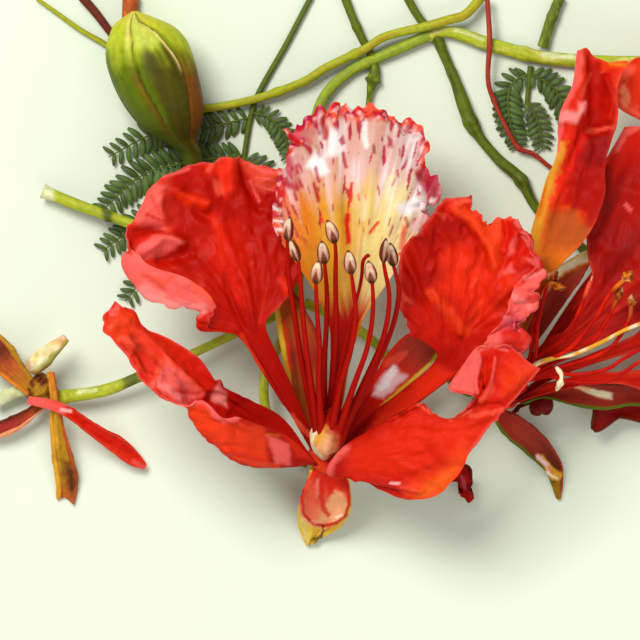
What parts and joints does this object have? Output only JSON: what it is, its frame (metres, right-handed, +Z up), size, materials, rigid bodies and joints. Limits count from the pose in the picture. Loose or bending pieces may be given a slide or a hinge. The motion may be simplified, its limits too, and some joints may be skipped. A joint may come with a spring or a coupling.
{
  "type": "cut flowering sprig of a flame tree",
  "caption": "Cut flowering sprig of a flame tree, lying flat: frilled red blooms with a speckled pale upper petal and long stamens, a bud, bent flower stalks and feathery leaves.",
  "frame": {"origin": "middle of the sprig's box in X and Y, on the surface that it lies on", "axes": "+Z up, towards a viewer who looks down on the sprig; +X across the sprig, from the withered bloom to the second bloom; +Y from the open bloom's lowest sepal towards the main stalk"},
  "size_m": [0.1614, 0.1118, 0.0462],
  "materials": {
    "red_petal": "satin",
    "speckled_petal": "satin",
    "sepal": "satin",
    "receptacle": "satin",
    "stamen": "satin",
    "stamen_base": "satin",
    "bud": "satin",
    "green_stalk": "satin",
    "dark_stalk": "matte",
    "red_stalk": "matte",
    "withered_sepal": "matte",
    "rolled_sepal": "satin",
    "leaf": "matte"
  },
  "bodies": {
    "root": {"main_receptacle": "receptacle", "main_standard": "speckled_petal", "main_wing_left": "red_petal", "main_wing_right": "red_petal", "main_keel_left": "red_petal", "main_keel_right": "red_petal", "main_sepal_lower": "sepal", "main_sepal_upper_left": "sepal", "main_sepal_upper_right": "sepal", "main_sepal_lower_left": "sepal", "main_sepal_lower_right": "sepal", "stamen_collar": "stamen_base", "stamen_1": "stamen", "stamen_2": "stamen", "stamen_3": "stamen", "stamen_4": "stamen", "stamen_5": "stamen", "stamen_6": "stamen", "stamen_7": "stamen", "stamen_8": "stamen", "stamen_9": "stamen", "pistil": "stamen", "side_receptacle": "receptacle", "side_petal_upright": "red_petal", "side_petal_right": "red_petal", "side_petal_upper": "red_petal", "side_petal_far": "red_petal", "side_petal_low": "red_petal", "side_sepal_up": "sepal", "side_sepal_right": "sepal", "side_sepal_low": "sepal", "side_sepal_maroon": "sepal", "side_sepal_left": "sepal", "side_stamens": "stamen", "bud": "bud", "withered_cup": "withered_sepal", "withered_sepal_hanging": "withered_sepal", "withered_sepal_left": "withered_sepal", "withered_sepal_low": "withered_sepal", "withered_sepal_rolled": "rolled_sepal", "withered_stub": "rolled_sepal", "withered_petal": "red_petal", "main_stalk": "green_stalk", "flowering_stalk": "green_stalk", "side_stalk": "green_stalk", "twig_top_left": "dark_stalk", "twig_behind_standard": "green_stalk", "twig_top": "dark_stalk", "bare_axis": "dark_stalk", "twig_top_right": "green_stalk", "red_stalk": "red_stalk", "stub_pedicel": "green_stalk", "bud_pedicel": "green_stalk", "withered_pedicel": "green_stalk", "main_pedicel": "green_stalk", "side_pedicel": "green_stalk", "leaf_left": "leaf", "leaf_right": "leaf"}
  },
  "joints": []
}
